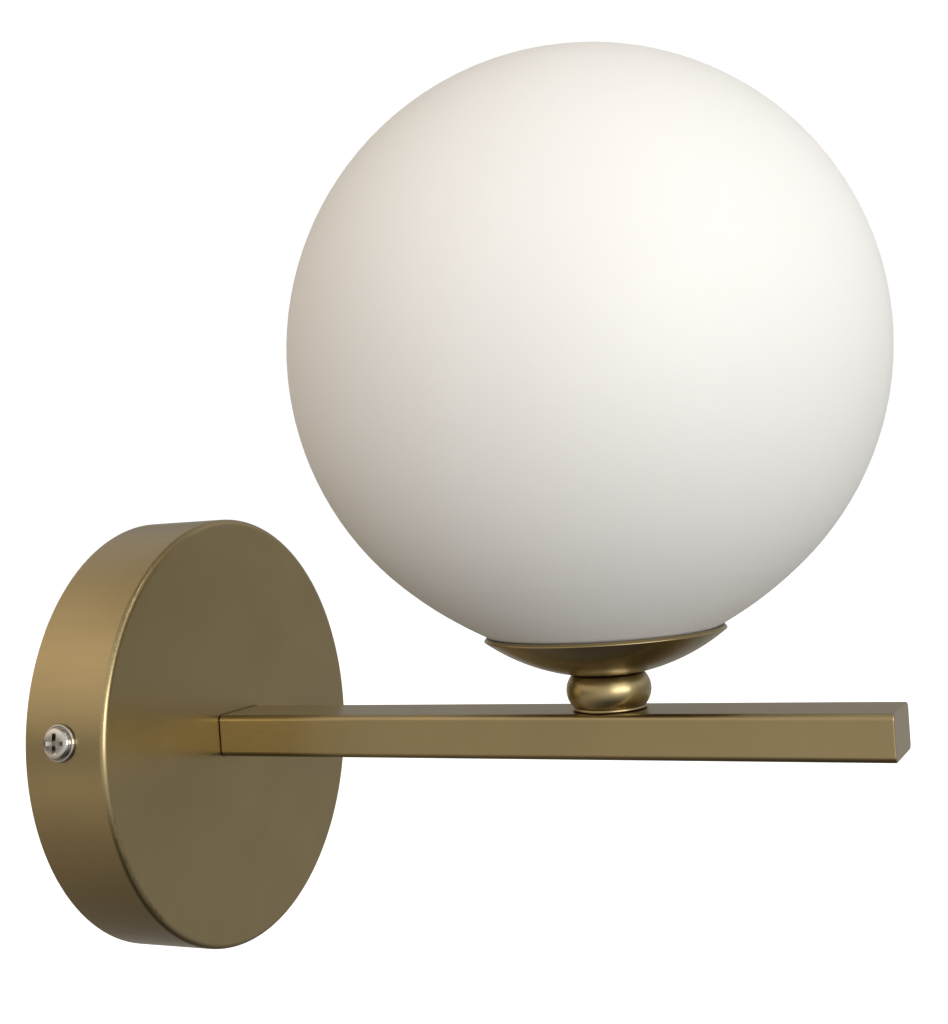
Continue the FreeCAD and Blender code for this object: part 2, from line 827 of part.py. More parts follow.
def contacts():
    # sheet sleeve round each pin, with a crimp below it for the lead
    floor = ceramic_seat + contact_start
    pieces = []
    for side in (-1, 1):
        y = side * pin_spacing / 2
        depth = contact_inner_depth / 2
        width = contact_inner_width / 2
        sleeve = box((axis_x - depth - contact_sheet, y - width - contact_sheet, floor),
                     (axis_x + depth + contact_sheet, y + width + contact_sheet, floor + contact_height))
        hollow = box((axis_x - depth, y - width, floor + contact_sheet),
                     (axis_x + depth, y + width, floor + contact_height + past))
        crimp = rod(crimp_outer_radius, (axis_x, y, floor - crimp_length), (axis_x, y, floor))
        bore = rod(lead_radius + seat_gap, (axis_x, y, floor - crimp_length - past),
                   (axis_x, y, floor - crimp_end_wall))
        pieces.append(joined([sleeve, crimp]).cut([hollow, bore]))
    return Part.makeCompound(pieces)


# Bulb

def bulb_base():
    foot = box((axis_x - bulb_foot_depth / 2, -bulb_foot_width / 2, bulb_seat),
               (axis_x + bulb_foot_depth / 2, bulb_foot_width / 2, bulb_seat + bulb_foot_height))
    foot = rounded(foot, bulb_foot_corner, along(UP))
    drum = Part.makeCylinder(bulb_base_radius, bulb_base_height - bulb_foot_height,
                             Vector(axis_x, 0, bulb_seat + bulb_foot_height))
    return joined([foot, drum])


def bulb_pins():
    # each pin is a loop of wire
    pins = []
    for side in (-1, 1):
        middle = side * pin_spacing / 2
        reach = pin_width / 2 - pin_wire_radius
        bottom = bulb_seat - pin_length + pin_wire_radius
        loop = [(axis_x, middle - reach, bulb_seat), (axis_x, middle - reach, bottom),
                (axis_x, middle + reach, bottom), (axis_x, middle + reach, bulb_seat)]
        bend = pin_bend_share * reach
        path = Part.Wire(bent_edges(loop, [0, bend, bend, 0]))
        pins.append(swept(path, pin_wire_radius))
    return Part.makeCompound(pins)


def bulb_diffuser():
    start = bulb_seat + bulb_base_height
    dome = bulb_seat + bulb_length - bulb_radius
    inner = bulb_radius - bulb_wall
    slant = math.sqrt(0.5)
    return turned((inner, start), [
        (bulb_radius, start),
        (bulb_radius, dome),
        ((bulb_radius * slant, dome + bulb_radius * slant), (0, dome + bulb_radius)),
        (0, dome + inner),
        ((inner * slant, dome + inner * slant), (inner, dome))])


def bulb_led_board():
    start = bulb_seat + bulb_base_height
    return box((axis_x - led_board_thickness / 2, -led_board_width / 2, start),
               (axis_x + led_board_thickness / 2, led_board_width / 2, start + led_board_height))


# Leads

def swept(path, radius):
    first = path.Edges[0]
    start = first.valueAt(first.FirstParameter)
    direction = first.tangentAt(first.FirstParameter)
    ring = Part.Wire(Part.makeCircle(radius, start, direction))
    return path.makePipeShell([ring], True, False)


def lead(points, tight_corners=()):
    # each bend is as wide as its two runs and the room allow. A tight corner is a pair: its place in
    # the points, and the widest bend there
    room = dict(tight_corners)
    spots = [Vector(*point) for point in points]
    bends = [0] * len(spots)
    for i in range(1, len(spots) - 1):
        before, after = spots[i] - spots[i - 1], spots[i + 1] - spots[i]
        half_turn = before.getAngle(after) / 2
        widest = lead_bend_share * min(before.Length, after.Length) / math.tan(half_turn)
        bends[i] = min(widest, lead_largest_bend, room.get(i, lead_largest_bend))
    path = Part.Wire(bent_edges(points, bends))
    solid = swept(path, lead_radius)
    expected = math.pi * lead_radius ** 2 * path.Length
    print("lead length %.1f, volume over section times length %.5f, bends %s"
          % (path.Length, solid.Volume / expected, [round(bend, 1) for bend in bends[1:-1]]))
    return solid


block_top = -block_drop + block_width / 2
insert_axis = bracket_sheet + insert_height
lead_start = -block_drop + 0.5 * terminal_screw_offset


def nipple_entry_bend(floor):
    # widest bend from the arm's floor up into the nipple that stays clear of the nipple's bottom edge
    aside = nipple_bore_radius - neighbour_gap - lead_radius
    reach = math.sqrt(aside ** 2 - lead_nipple_offset ** 2)
    rise = nipple_bottom - floor
    return reach + rise + math.sqrt(2 * reach * rise)


def lamp_lead(pole, side):
    # terminal block, canopy face, arm, nipple, lampholder contact
    pair = side * lead_pair_offset
    rise = side * lead_nipple_offset
    floor = -arm_inner_height / 2 + lead_radius + lead_floor_gap
    contact = side * pin_spacing / 2
    crimp_top = ceramic_seat + contact_start
    slope_start = canopy_depth + arm_block_length + lead_past_block
    under_nipple = (axis_x, rise, floor)
    points = [
        (insert_axis, pole, lead_start),
        (insert_axis, pole, block_top + lead_rise),
        (insert_axis, pair, lead_gather_height),
        (insert_axis, pair, 0),
        (slope_start, pair, 0),
        (slope_start + lead_slope, rise, floor),
        under_nipple,
        (axis_x, rise, nipple_top + lead_above_nipple),
        (axis_x, contact, crimp_top - crimp_length - lead_below_crimp),
        (axis_x, contact, crimp_top - crimp_end_wall - neighbour_gap)]
    return lead(points, [(points.index(under_nipple), nipple_entry_bend(floor))])


def live_lead():
    return lamp_lead(pole_places()[2], 1)


def neutral_lead():
    return lamp_lead(pole_places()[1], -1)


def earth_lead():
    pole = pole_places()[0]
    barrel_axis = bracket_sheet + earth_barrel_radius + lead_floor_gap
    barrel_end = -earth_reach + earth_ring_radius + earth_barrel_length
    return lead([
        (insert_axis, pole, lead_start),
        (insert_axis, pole, earth_lead_turn_height),
        (barrel_axis, pole - earth_lead_lean, 0),
        (barrel_axis, barrel_end - earth_lead_grip, 0)])


nodes = {
    "wall_bracket": wall_bracket,
    "canopy_shell": canopy_shell,
    "canopy_washer_left": lambda: canopy_washer(-1),
    "canopy_washer_right": lambda: canopy_washer(1),
    "canopy_screw_left": lambda: canopy_side_screw(-1),
    "canopy_screw_right": lambda: canopy_side_screw(1),
    "terminal_block_body": terminal_block_body,
    "terminal_inserts": terminal_inserts,
    "terminal_screws": terminal_screws,
    "terminal_block_screw": terminal_block_screw,
    "earth_ring_terminal": earth_ring_terminal,
    "earth_washer": earth_washer,
    "earth_screw": earth_point_screw,
    "arm_tube": arm_tube,
    "arm_end_cap": arm_end_cap,
    "arm_end_block": arm_end_block,
    "arm_fixing_screws": arm_fixing_screws,
    "wire_grommet": wire_grommet,
    "arm_weld_nut": arm_weld_nut,
    "threaded_nipple": threaded_nipple,
    "bead_spacer": bead_spacer,
    "dish": dish,
    "globe_ring": globe_ring,
    "globe_gasket": globe_gasket,
    "globe_collar": globe_collar,
    "globe_glass": globe_glass,
    "lampholder_bracket": lampholder_bracket,
    "lock_washer": lock_washer,
    "lock_nut": lock_nut,
    "lampholder_screws": holder_screws,
    "lampholder_body": ceramic_body,
    "lampholder_contacts": contacts,
    "bulb_base": bulb_base,
    "bulb_pins": bulb_pins,
    "bulb_diffuser": bulb_diffuser,
    "bulb_led_board": bulb_led_board,
    "live_lead": live_lead,
    "neutral_lead": neutral_lead,
    "earth_lead": earth_lead,
}

os.makedirs("parts", exist_ok=True)
for name, make in nodes.items():
    shape = make()
    print("%-22s solids %d valid %s volume %.1f" % (name, len(shape.Solids), shape.isValid(), shape.Volume))
    shape.exportStep("parts/%s.step" % name)
print("globe centre above the arm's middle %.2f, slot centres at %.3f" % (globe_centre, slot_centre))
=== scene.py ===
import json
import math

import bmesh
import bpy
from mathutils import Matrix, Vector


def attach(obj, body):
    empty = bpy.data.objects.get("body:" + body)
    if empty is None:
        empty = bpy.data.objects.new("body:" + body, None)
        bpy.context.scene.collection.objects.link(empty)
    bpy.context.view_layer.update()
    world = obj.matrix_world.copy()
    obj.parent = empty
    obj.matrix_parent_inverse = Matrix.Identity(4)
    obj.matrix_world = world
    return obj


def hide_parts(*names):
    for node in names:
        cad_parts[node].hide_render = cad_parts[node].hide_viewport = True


# Globe wall sconce, in metres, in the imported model's frame: the origin is on the wall in the middle of
# the canopy, +X points out of the wall along the arm and +Z points up.
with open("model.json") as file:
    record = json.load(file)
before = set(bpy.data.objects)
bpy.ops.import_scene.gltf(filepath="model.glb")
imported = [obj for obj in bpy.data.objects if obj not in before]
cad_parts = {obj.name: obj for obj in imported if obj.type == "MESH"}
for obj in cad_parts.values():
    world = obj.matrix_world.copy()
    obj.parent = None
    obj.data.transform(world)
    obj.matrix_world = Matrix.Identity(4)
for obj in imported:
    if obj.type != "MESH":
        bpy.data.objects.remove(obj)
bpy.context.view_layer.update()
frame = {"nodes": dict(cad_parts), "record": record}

MM = 0.001

# Camera, as the photograph was taken: degrees, and its place in metres
camera_azimuth = 25.0
camera_elevation = 0.7
camera_roll = -4.0
camera_place = Vector((0.2728, -0.3644, 0.0625))
camera_focal_pixels = 1534.7
image_long_side_pixels = 1024
sensor_width_mm = 36.0

# Stage
floor_height = -0.6
floor_size = 14.0
backdrop_strength = 1.05

# Softboxes: name, azimuth and elevation in degrees, width and height in metres, power in watts. Each is
# as far from the middle of the light as the distance says, and faces it. An azimuth is counted from the
# side of the arm that the photograph shows, positive towards the arm's free end.
softbox_target = Vector((0.1, 0, 0.05))
softbox_distance = 1.2
softboxes = [
    ("key_right", 54, 8, (1.0, 0.45), 6.5),
    ("strip_above", 70, 55, (0.08, 1.0), 1.2),
]

# Room round the object: each side is its azimuth, its tint and its brightness at the heights between
# straight down (-1) and straight up (1), where all sides meet in one floor and one ceiling.
room_heights = (-1, -0.6, -0.25, 0, 0.25, 0.6, 1)
room_floor = 0.05
room_ceiling = 0.26
room_sides = [
    (25, (1, 0.99, 0.95), (0.06, 0.70, 1.00, 0.80, 0.84)),
    (115, (1, 0.99, 0.95), (0.30, 0.42, 0.32, 0.80, 0.60)),
    (205, (1, 0.95, 0.87), (0.20, 0.40, 0.44, 0.24, 0.45)),
    (295, (1, 0.87, 0.72), (0.38, 0.60, 0.10, 0.90, 1.20)),
]

# Sizes from here to the recess are in millimetres, as in the CAD, and turns are in degrees.
# Threads: pitch and depth
globe_thread = (3.0, 0.55)
screw_thread = (0.7, 0.38)
thread_rows_per_pitch = 12
thread_run_out = 0.6

# Turned pieces: how many columns a full turn has, and from which angle on an edge stays sharp
turned_columns = 128
screw_columns = 48
sharp_from_degrees = 35

# Bead: the foot ring is half round, and the barrel is an arc through its three points
bead_bore, bead_bottom, bead_top = 5.15, 5.75, 15.15
foot_ring_radius, foot_ring_reach, foot_ring_rows = 0.5, 8.95, 10
barrel_points = ((9.15, 6.75), (10.75, 10.8), (8.9, 15.15))
barrel_rows = 32

# Globe ring and collar round the globe's axis, and the side screws on their turned line
globe_axis = Vector((137.0, 0.0, 0.0)) * MM
ring_bore, ring_foot, ring_flange, ring_inside, ring_outside = 5.15, 9.3, 14.6, 10.5, 12.0
ring_bottom, ring_flange_bottom, ring_floor_top, ring_top = 16.35, 17.978, 19.0, 30.0
collar_bore, collar_outside, collar_flange = 12.3, 15.0, 17.8
collar_bottom, collar_flange_top, collar_top = 20.0, 20.8, 31.0
side_screw_turn = -6.5
screw_from_wall, screw_seat = 11.2, 60.85
screw_shank, screw_head, screw_head_height, screw_length = 1.95, 4.1, 1.6, 10.0
screw_tip_chamfer = 0.45
screw_seat_gap = 0.01
screw_head_rows = 14
recess_depth, recess_reach, recess_half_width, recess_narrowing = 1.0, 2.8, 0.62, 0.5
recess_overcut = 0.2


# Camera, lights, floor

def direction(azimuth, elevation):
    turn, lift = math.radians(azimuth), math.radians(elevation)
    return Vector((math.sin(turn) * math.cos(lift), -math.cos(turn) * math.cos(lift), math.sin(lift)))


def make_camera():
    roll = math.radians(camera_roll)
    back = direction(camera_azimuth, camera_elevation)
    right = (-back).cross(Vector((0, 0, 1))).normalized()
    up = right.cross(-back)
    rolled_right = math.cos(roll) * right + math.sin(roll) * up
    rolled_up = math.cos(roll) * up - math.sin(roll) * right
    data = bpy.data.cameras.new("camera")
    data.sensor_width = sensor_width_mm
    data.lens = camera_focal_pixels * sensor_width_mm / image_long_side_pixels
    data.clip_start = 0.01
    data.clip_end = 50
    camera = bpy.data.objects.new("camera", data)
    camera.matrix_world = Matrix.Translation(camera_place) @ Matrix(
        (rolled_right, rolled_up, back)).transposed().to_4x4()
    bpy.context.scene.collection.objects.link(camera)
    bpy.context.scene.camera = camera


def make_softbox(name, azimuth, elevation, size, power):
    away = direction(azimuth, elevation)
    data = bpy.data.lights.new(name, "AREA")
    data.shape = "RECTANGLE"
    data.size, data.size_y = size
    data.energy = power
    light = bpy.data.objects.new(name, data)
    place = Matrix.Translation(softbox_target + away * softbox_distance)
    light.matrix_world = place @ away.to_track_quat("Z", "Y").to_matrix().to_4x4()
    light.visible_camera = False
    bpy.context.scene.collection.objects.link(light)


def make_room(nodes, links):
    # sides that blend into each other, each strongest straight towards its azimuth
    place = nodes.new("ShaderNodeTexCoord")
    split = nodes.new("ShaderNodeSeparateXYZ")
    links.new(place.outputs["Generated"], split.inputs[0])
    height = mapped(nodes, links, split.outputs["Z"], 0, 1, -1, 1)
    level = nodes.new("ShaderNodeVectorMath")
    level.operation = "MULTIPLY"
    level.inputs[1].default_value = (1, 1, 0)
    links.new(place.outputs["Generated"], level.inputs[0])
    flat = nodes.new("ShaderNodeVectorMath")
    flat.operation = "NORMALIZE"
    links.new(level.outputs[0], flat.inputs[0])
    room = None
    for azimuth, tint, strengths in room_sides:
        towards = nodes.new("ShaderNodeVectorMath")
        towards.operation = "DOT_PRODUCT"
        towards.inputs[1].default_value = direction(azimuth, 0)
        links.new(flat.outputs[0], towards.inputs[0])
        facing = nodes.new("ShaderNodeMath")
        facing.operation = "MAXIMUM"
        facing.inputs[1].default_value = 0
        links.new(towards.outputs["Value"], facing.inputs[0])
        share = nodes.new("ShaderNodeMath")
        share.operation = "POWER"
        share.inputs[1].default_value = 2
        links.new(facing.outputs[0], share.inputs[0])
        side = nodes.new("ShaderNodeBackground")
        links.new(share.outputs[0], side.inputs["Strength"])
        levels = (room_floor, *strengths, room_ceiling)
        stops = [((rise + 1) / 2, [part * strength for part in tint])
                 for rise, strength in zip(room_heights, levels)]
        links.new(coloured(nodes, links, height, stops), side.inputs["Color"])
        if room:
            both = nodes.new("ShaderNodeAddShader")
            links.new(room, both.inputs[0])
            links.new(side.outputs[0], both.inputs[1])
            room = both.outputs[0]
        else:
            room = side.outputs[0]
    return room


def make_world():
    # the room lights the object, and the camera sees a white backdrop behind it
    world = bpy.data.worlds.new("studio")
    world.use_nodes = True
    bpy.context.scene.world = world
    nodes, links = world.node_tree.nodes, world.node_tree.links
    nodes.clear()
    backdrop = nodes.new("ShaderNodeBackground")
    backdrop.inputs["Color"].default_value = (1, 1, 1, 1)
    backdrop.inputs["Strength"].default_value = backdrop_strength
    ray = nodes.new("ShaderNodeLightPath")
    mix = nodes.new("ShaderNodeMixShader")
    links.new(ray.outputs["Is Camera Ray"], mix.inputs[0])
    links.new(make_room(nodes, links), mix.inputs[1])
    links.new(backdrop.outputs[0], mix.inputs[2])
    output = nodes.new("ShaderNodeOutputWorld")
    links.new(mix.outputs[0], output.inputs["Surface"])


def make_floor():
    mesh = bpy.data.meshes.new("floor")
    half = floor_size / 2
    corners = [(-half, -half), (half, -half), (half, half), (-half, half)]
    mesh.from_pydata([(x, y, floor_height) for x, y in corners], [], [(0, 1, 2, 3)])
    floor = bpy.data.objects.new("floor", mesh)
    bpy.context.scene.collection.objects.link(floor)
    material, nodes, links, shader = new_material("floor_paper")
    shader.inputs["Base Color"].default_value = (0.9, 0.9, 0.9, 1)
    shader.inputs["Roughness"].default_value = 0.9
    shader.inputs["Emission Color"].default_value = (1, 1, 1, 1)
    shader.inputs["Emission Strength"].default_value = 0.8
    mesh.materials.append(material)
    floor.visible_diffuse = False
    floor.visible_glossy = False


# Material helpers

def fill_ramp(ramp, stops):
    elements = ramp.color_ramp.elements
    while len(elements) < len(stops):
        elements.new(0.5)
    for element, (position, colour) in zip(elements, stops):
        element.position = position
        element.color = (*colour, 1)


def new_material(name):
    material = bpy.data.materials.new(name)
    material.use_nodes = True
    nodes, links = material.node_tree.nodes, material.node_tree.links
    return material, nodes, links, nodes["Principled BSDF"]


def noise(nodes, links, scale, detail, stretch=(1, 1, 1)):
    # scale is in features per metre, and stretch makes them longer where it is below 1
    place = nodes.new("ShaderNodeTexCoord")
    mapping = nodes.new("ShaderNodeMapping")
    mapping.inputs["Scale"].default_value = stretch
    links.new(place.outputs["Object"], mapping.inputs["Vector"])
    texture = nodes.new("ShaderNodeTexNoise")
    texture.inputs["Scale"].default_value = scale
    texture.inputs["Detail"].default_value = detail
    links.new(mapping.outputs[0], texture.inputs["Vector"])
    return texture.outputs["Fac"]


def mapped(nodes, links, value, low, high, start=0.3, end=0.7):
    remap = nodes.new("ShaderNodeMapRange")
    remap.inputs["From Min"].default_value = start
    remap.inputs["From Max"].default_value = end
    remap.inputs["To Min"].default_value = low
    remap.inputs["To Max"].default_value = high
    links.new(value, remap.inputs["Value"])
    return remap.outputs[0]


def coloured(nodes, links, value, stops):
    ramp = nodes.new("ShaderNodeValToRGB")
    fill_ramp(ramp, stops)
    links.new(value, ramp.inputs[0])
    return ramp.outputs[0]


def with_painted_shade(nodes, links, colour, reach):
    # painted shade: darker in recesses and along seams that are narrower than the reach, in metres
    cavity = nodes.new("ShaderNodeAmbientOcclusion")
    cavity.inputs["Distance"].default_value = reach
    shadow = coloured(nodes, links, cavity.outputs["AO"], [(0.3, (0.16, 0.13, 0.10)), (0.85, (1, 1, 1))])
    mix = nodes.new("ShaderNodeMix")
    mix.data_type = "RGBA"
    mix.blend_type = "MULTIPLY"
    mix.inputs["Factor"].default_value = 1.0
    links.new(colour, mix.inputs["A"])
    links.new(shadow, mix.inputs["B"])
    return mix.outputs["Result"]


def bumped(nodes, links, shader, heights):
    # heights: (value, distance in metres, strength), laid over each other
    normal = None
    for value, distance, strength in heights:
        bump = nodes.new("ShaderNodeBump")
        bump.inputs["Distance"].default_value = distance
        bump.inputs["Strength"].default_value = strength
        links.new(value, bump.inputs["Height"])
        if normal:
            links.new(normal, bump.inputs["Normal"])
        normal = bump.outputs[0]
    links.new(normal, shader.inputs["Normal"])


# Materials

def satin_brass():
    # lacquered antique brass: fine sprayed grain, soft mottling, faint lines along the arm, and painted
    # shade in its recesses and seams
    material, nodes, links, shader = new_material("satin_brass")
    mottle = coloured(nodes, links, noise(nodes, links, 38, 4), [
        (0.30, (0.362, 0.282, 0.138)),
        (0.70, (0.398, 0.311, 0.156)),
    ])
    links.new(with_painted_shade(nodes, links, mottle, 0.9 * MM), shader.inputs["Base Color"])
    lines = noise(nodes, links, 900, 2, (0.06, 1, 1))
    links.new(mapped(nodes, links, lines, 0.29, 0.35), shader.inputs["Roughness"])
    shader.inputs["Metallic"].default_value = 1.0
    shader.inputs["Coat Weight"].default_value = 0.4
    shader.inputs["Coat Roughness"].default_value = 0.14
    shader.inputs["Coat IOR"].default_value = 1.5
    grain = noise(nodes, links, 5200, 2)
    wave = noise(nodes, links, 55, 2)
    bumped(nodes, links, shader, [
        (grain, 0.02 * MM, 0.14),
        (lines, 0.02 * MM, 0.15),
        (wave, 0.4 * MM, 0.06),
    ])
    return material


def opal_glass():
    # white glass with an etched surface
    material, nodes, links, shader = new_material("opal_glass")
    cloud = noise(nodes, links, 14, 3)
    links.new(coloured(nodes, links, cloud, [
        (0.3, (0.915, 0.895, 0.870)),
        (0.7, (0.935, 0.915, 0.890)),
    ]), shader.inputs["Base Color"])
    haze = noise(nodes, links, 120, 3)
    links.new(mapped(nodes, links, haze, 0.52, 0.62), shader.inputs["Roughness"])
    shader.inputs["IOR"].default_value = 1.45
    shader.inputs["Subsurface Weight"].default_value = 0.15
    shader.inputs["Subsurface Radius"].default_value = (1.0, 0.9, 0.8)
    shader.inputs["Subsurface Scale"].default_value = 3 * MM
    etch = noise(nodes, links, 7000, 1)
    bumped(nodes, links, shader, [(etch, 0.01 * MM, 0.2)])
    return material


def plated(name, dark, light, roughness, scratch_stretch):
    # plated metal with rubbed lines, blotches and painted shade in its corners
    material, nodes, links, shader = new_material(name)
    blotch = noise(nodes, links, 160, 4)
    plating = coloured(nodes, links, blotch, [(0.3, dark), (0.7, light)])
    links.new(with_painted_shade(nodes, links, plating, 1.2 * MM), shader.inputs["Base Color"])
    rubbed = noise(nodes, links, 2400, 3, scratch_stretch)
    links.new(mapped(nodes, links, rubbed, *roughness), shader.inputs["Roughness"])
    shader.inputs["Metallic"].default_value = 1.0
    bumped(nodes, links, shader, [(rubbed, 0.02 * MM, 0.25), (blotch, 0.1 * MM, 0.05)])
    return material


def moulded(name, dark, light, roughness, grain_scale, grain_strength, subsurface):
    # plastic, ceramic or rubber
    material, nodes, links, shader = new_material(name)
    patches = noise(nodes, links, 220, 3)
    links.new(coloured(nodes, links, patches, [(0.3, dark), (0.7, light)]), shader.inputs["Base Color"])
    grain = noise(nodes, links, grain_scale, 3)
    links.new(mapped(nodes, links, grain, *roughness), shader.inputs["Roughness"])
    shader.inputs["Subsurface Weight"].default_value = subsurface
    shader.inputs["Subsurface Radius"].default_value = (1.0, 0.9, 0.8)
    shader.inputs["Subsurface Scale"].default_value = 1 * MM
    bumped(nodes, links, shader, [(grain, 0.03 * MM, grain_strength)])
    return material


def earth_insulation():
    # green, with a yellow stripe along the sides that face the wall and the room
    material, nodes, links, shader = new_material("green_lead")
    geometry = nodes.new("ShaderNodeNewGeometry")
    split = nodes.new("ShaderNodeSeparateXYZ")
    links.new(geometry.outputs["Normal"], split.inputs[0])
    side = nodes.new("ShaderNodeMath")
    side.operation = "ABSOLUTE"
    links.new(split.outputs["X"], side.inputs[0])
    links.new(coloured(nodes, links, side.outputs[0], [
        (0.66, (0.05, 0.24, 0.04)),
        (0.72, (0.75, 0.62, 0.05)),
    ]), shader.inputs["Base Color"])
    grain = noise(nodes, links, 1500, 2)
    links.new(mapped(nodes, links, grain, 0.42, 0.55), shader.inputs["Roughness"])
    bumped(nodes, links, shader, [(grain, 0.02 * MM, 0.15)])
    return material


def make_materials():
    # plated: dark and light blotches, roughness, stretch of the rubbed lines. Moulded: dark and light
    # patches, roughness, scale and strength of the grain, and light inside it.
    along_y = (1, 0.08, 1)
    even = (1, 1, 1)
    made = {
        "bronze_finish": satin_brass(),
        "opal_glass": opal_glass(),
        "green_lead": earth_insulation(),
    }
    for name, *finish in (
        ("zinc_steel", (0.42, 0.42, 0.40), (0.56, 0.56, 0.54), (0.30, 0.45), along_y),
        ("nickel_screw", (0.54, 0.52, 0.48), (0.70, 0.68, 0.65), (0.06, 0.14), even),
        ("brass_inner", (0.55, 0.38, 0.15), (0.66, 0.48, 0.21), (0.22, 0.36), even),
        ("bare_aluminium", (0.62, 0.62, 0.63), (0.72, 0.72, 0.73), (0.28, 0.42), even),
        ("tinned_copper", (0.58, 0.55, 0.52), (0.68, 0.65, 0.61), (0.24, 0.36), even),
    ):
        made[name] = plated(name, *finish)
    for name, *finish in (
        ("white_ceramic", (0.78, 0.76, 0.71), (0.85, 0.83, 0.79), (0.45, 0.62), 3000, 0.35, 0),
        ("nylon_block", (0.70, 0.70, 0.66), (0.78, 0.78, 0.75), (0.38, 0.50), 1800, 0.15, 0.12),
        ("silicone", (0.60, 0.59, 0.56), (0.68, 0.67, 0.64), (0.55, 0.70), 2500, 0.25, 0.1),
        ("bulb_plastic", (0.82, 0.82, 0.80), (0.88, 0.88, 0.86), (0.40, 0.50), 2500, 0.1, 0.2),
        ("brown_lead", (0.10, 0.045, 0.02), (0.14, 0.06, 0.03), (0.42, 0.55), 1500, 0.15, 0),
        ("blue_lead", (0.02, 0.09, 0.30), (0.03, 0.12, 0.36), (0.42, 0.55), 1500, 0.15, 0),
    ):
        made[name] = moulded(name, *finish)
    return made


def dress(materials):
    for entry in frame["record"]["subparts"]:
        mesh = frame["nodes"][entry["node"]].data
        mesh.materials.clear()
        mesh.materials.append(materials[entry["material_slot"]])
        mesh.polygons.foreach_set("material_index", [0] * len(mesh.polygons))


# Pieces with cut threads, in place of the CAD's smooth ones

def lathe(name, profile, columns, thread=None, inward=True):
    # a closed turned form from (radius, height, threaded) points in millimetres. A threaded point is
    # pulled off its radius along a right-handed helix.
    form = bmesh.new()
    rings = []
    for radius, height, cut in profile:
        if radius == 0:
            rings.append([form.verts.new((0, 0, height * MM))])
            continue
        ring = []
        for column in range(columns):
            angle = 2 * math.pi * column / columns
            reach = radius
            if cut:
                pitch, depth = thread
                wave = 0.5 - 0.5 * math.cos(2 * math.pi * height / pitch - angle)
                reach += (-1 if inward else 1) * depth * wave * cut
            x, y = reach * math.cos(angle), reach * math.sin(angle)
            ring.append(form.verts.new((x * MM, y * MM, height * MM)))
        rings.append(ring)
    for low, high in zip(rings, rings[1:] + rings[:1]):
        if len(low) == 1 and len(high) == 1:
            continue
        for column in range(columns):
            after = (column + 1) % columns
            if len(low) == 1:
                form.faces.new((low[0], high[after], high[column]))
            elif len(high) == 1:
                form.faces.new((low[column], low[after], high[0]))
            else:
                form.faces.new((low[column], low[after], high[after], high[column]))
    bmesh.ops.recalc_face_normals(form, faces=form.faces)
    mesh = bpy.data.meshes.new(name)
    form.to_mesh(mesh)
    form.free()
    piece = bpy.data.objects.new(name, mesh)
    bpy.context.scene.collection.objects.link(piece)
    return piece


def thread_points(radius, start, end, thread):
    # the cut fades in and out over a part of a pitch at both ends
    rows = round(abs(end - start) / thread[0] * thread_rows_per_pitch)
    run_out = thread_run_out * thread[0]
    points = []
    for row in range(rows + 1):
        height = start + (end - start) * row / rows
        from_end = min(abs(height - start), abs(height - end))
        points.append((radius, height, min(1.0, from_end / run_out)))
    return points


def shade(piece):
    # smooth all over, except along its edges
    mesh = piece.data
    mesh.polygons.foreach_set("use_smooth", [True] * len(mesh.polygons))
    mesh.set_sharp_from_angle(angle=math.radians(sharp_from_degrees))


def stand_in(piece, slot, node, body):
    # shows the piece in the node's place, on the node's body
    piece.data.materials.append(materials[slot])
    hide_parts(node)
    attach(piece, body)


def arc_through(first, middle, last, rows):
    # points on the arc through three points, both ends included
    (ax, ay), (bx, by), (cx, cy) = first, middle, last
    spread = 2 * (ax * (by - cy) + bx * (cy - ay) + cx * (ay - by))
    a, b, c = (x * x + y * y for x, y in (first, middle, last))
    centre = Vector(((a * (by - cy) + b * (cy - ay) + c * (ay - by)) / spread,
                     (a * (cx - bx) + b * (ax - cx) + c * (bx - ax)) / spread))
    radius = (Vector(first) - centre).length
    start = math.atan2(ay - centre.y, ax - centre.x)
    end = math.atan2(cy - centre.y, cx - centre.x)
    points = []
    for row in range(rows + 1):
        angle = start + (end - start) * row / rows
        points.append((centre.x + radius * math.cos(angle), centre.y + radius * math.sin(angle), 0))
    return points


def make_bead():
    ring_middle = bead_bottom + foot_ring_radius
    foot = arc_through((foot_ring_reach, bead_bottom), (foot_ring_reach + foot_ring_radius, ring_middle),
                       (foot_ring_reach, ring_middle + foot_ring_radius), foot_ring_rows)
    piece = lathe("bead_turned", [
        (bead_bore, bead_bottom, 0),
        *foot,
        *arc_through(*barrel_points, barrel_rows),
        (bead_bore, bead_top, 0),
    ], turned_columns)
    piece.location = globe_axis
    shade(piece)
    stand_in(piece, "bronze_finish", "bead_spacer", "fixture_body")


def make_globe_ring():
    piece = lathe("globe_ring_threaded", [
        (ring_bore, ring_bottom, 0),
        (ring_foot, ring_bottom, 0),
        (ring_flange, ring_flange_bottom, 0),
        (ring_flange, ring_floor_top, 0),
        *thread_points(ring_outside, ring_floor_top, ring_top, globe_thread),
        (ring_inside, ring_top, 0),
        (ring_inside, ring_floor_top, 0),
        (ring_bore, ring_floor_top, 0),
    ], turned_columns, globe_thread)
    piece.location = globe_axis
    shade(piece)
    stand_in(piece, "bare_aluminium", "globe_ring", "fixture_body")


def make_globe_collar():
    piece = lathe("globe_collar_threaded", [
        (collar_flange, collar_bottom, 0),
        (collar_flange, collar_flange_top, 0),
        (collar_outside, collar_flange_top, 0),
        (collar_outside, collar_top, 0),
        *thread_points(collar_bore, collar_top, collar_bottom, globe_thread),
    ], turned_columns, globe_thread, inward=False)
    piece.location = globe_axis
    shade(piece)
    stand_in(piece, "bare_aluminium", "globe_collar", "globe_body")


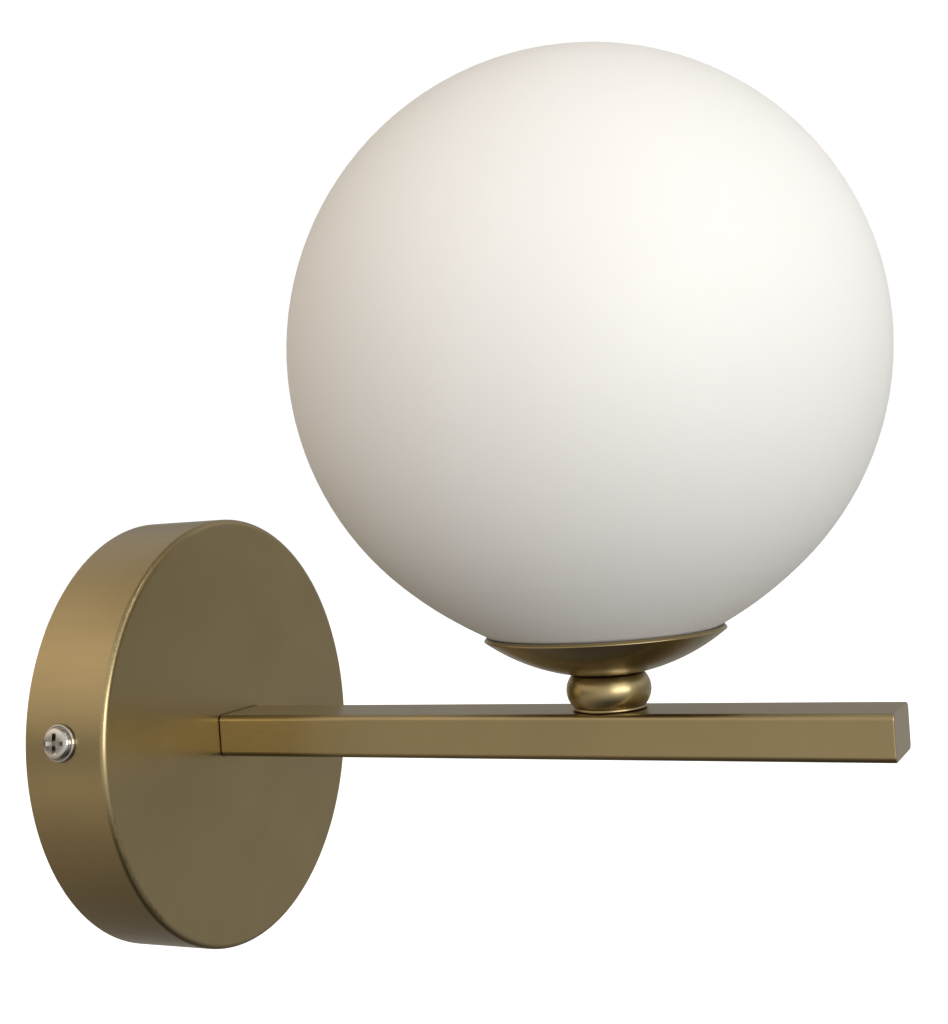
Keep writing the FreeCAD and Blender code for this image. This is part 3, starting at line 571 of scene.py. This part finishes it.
def recess_cutter():
    # a cross that narrows towards its floor and reaches a little past the head's top
    slope = (1 - recess_narrowing) / recess_depth
    levels = []
    for rise in (-recess_depth, recess_overcut):
        height = screw_head_height + rise
        share = 1 + slope * rise
        half, reach = recess_half_width * (share + 1) / 2, recess_reach * share
        quarter = [(reach, -half), (reach, half), (half, half)]
        outline = []
        for turn in range(4):
            for x, y in quarter:
                for step in range(turn):
                    x, y = -y, x
                outline.append((x * MM, y * MM, height * MM))
        levels.append(outline)
    count = len(levels[0])
    faces = [tuple(reversed(range(count))), tuple(range(count, 2 * count))]
    faces += [(i, (i + 1) % count, count + (i + 1) % count, count + i) for i in range(count)]
    mesh = bpy.data.meshes.new("recess_cutter")
    mesh.from_pydata(levels[0] + levels[1], [], faces)
    cutter = bpy.data.objects.new("recess_cutter", mesh)
    bpy.context.scene.collection.objects.link(cutter)
    return cutter


def make_side_screw(side, name):
    # the head's side is upright and rounds over into a nearly flat top
    head = []
    for row in range(screw_head_rows):
        angle = math.pi / 2 * row / screw_head_rows
        rise = (screw_head_height - screw_seat_gap) * math.sqrt(math.sin(angle))
        head.append((screw_head * math.sqrt(math.cos(angle)), screw_seat_gap + rise, 0))
    piece = lathe("canopy_screw_%s_threaded" % name, [
        (0, -screw_length, 0),
        (screw_shank - screw_tip_chamfer, -screw_length, 0),
        *thread_points(screw_shank, -screw_length + screw_tip_chamfer, screw_seat_gap, screw_thread),
        *head,
        (0, screw_head_height, 0),
    ], screw_columns, screw_thread)
    cutter = recess_cutter()
    cut = piece.modifiers.new("recess", "BOOLEAN")
    cut.operation = "DIFFERENCE"
    cut.solver = "EXACT"
    cut.object = cutter
    with_recess = piece.evaluated_get(bpy.context.evaluated_depsgraph_get())
    piece.data = bpy.data.meshes.new_from_object(with_recess)
    piece.modifiers.clear()
    bpy.data.objects.remove(cutter)
    turn = math.radians(side_screw_turn)
    outward = Vector((0, side * math.cos(turn), side * math.sin(turn)))
    spot = outward * screw_seat * MM + Vector((screw_from_wall, 0, 0)) * MM
    piece.matrix_world = Matrix.Translation(spot) @ Vector((0, 0, 1)).rotation_difference(
        outward).to_matrix().to_4x4()
    shade(piece)
    stand_in(piece, "nickel_screw", "canopy_screw_" + name, "canopy_screw_%s_body" % name)


materials = make_materials()
dress(materials)
make_bead()
make_globe_ring()
make_globe_collar()
make_side_screw(-1, "left")
make_side_screw(1, "right")
make_camera()
make_world()
make_floor()
for softbox in softboxes:
    make_softbox(*softbox)
bpy.context.scene.view_settings.view_transform = "Standard"
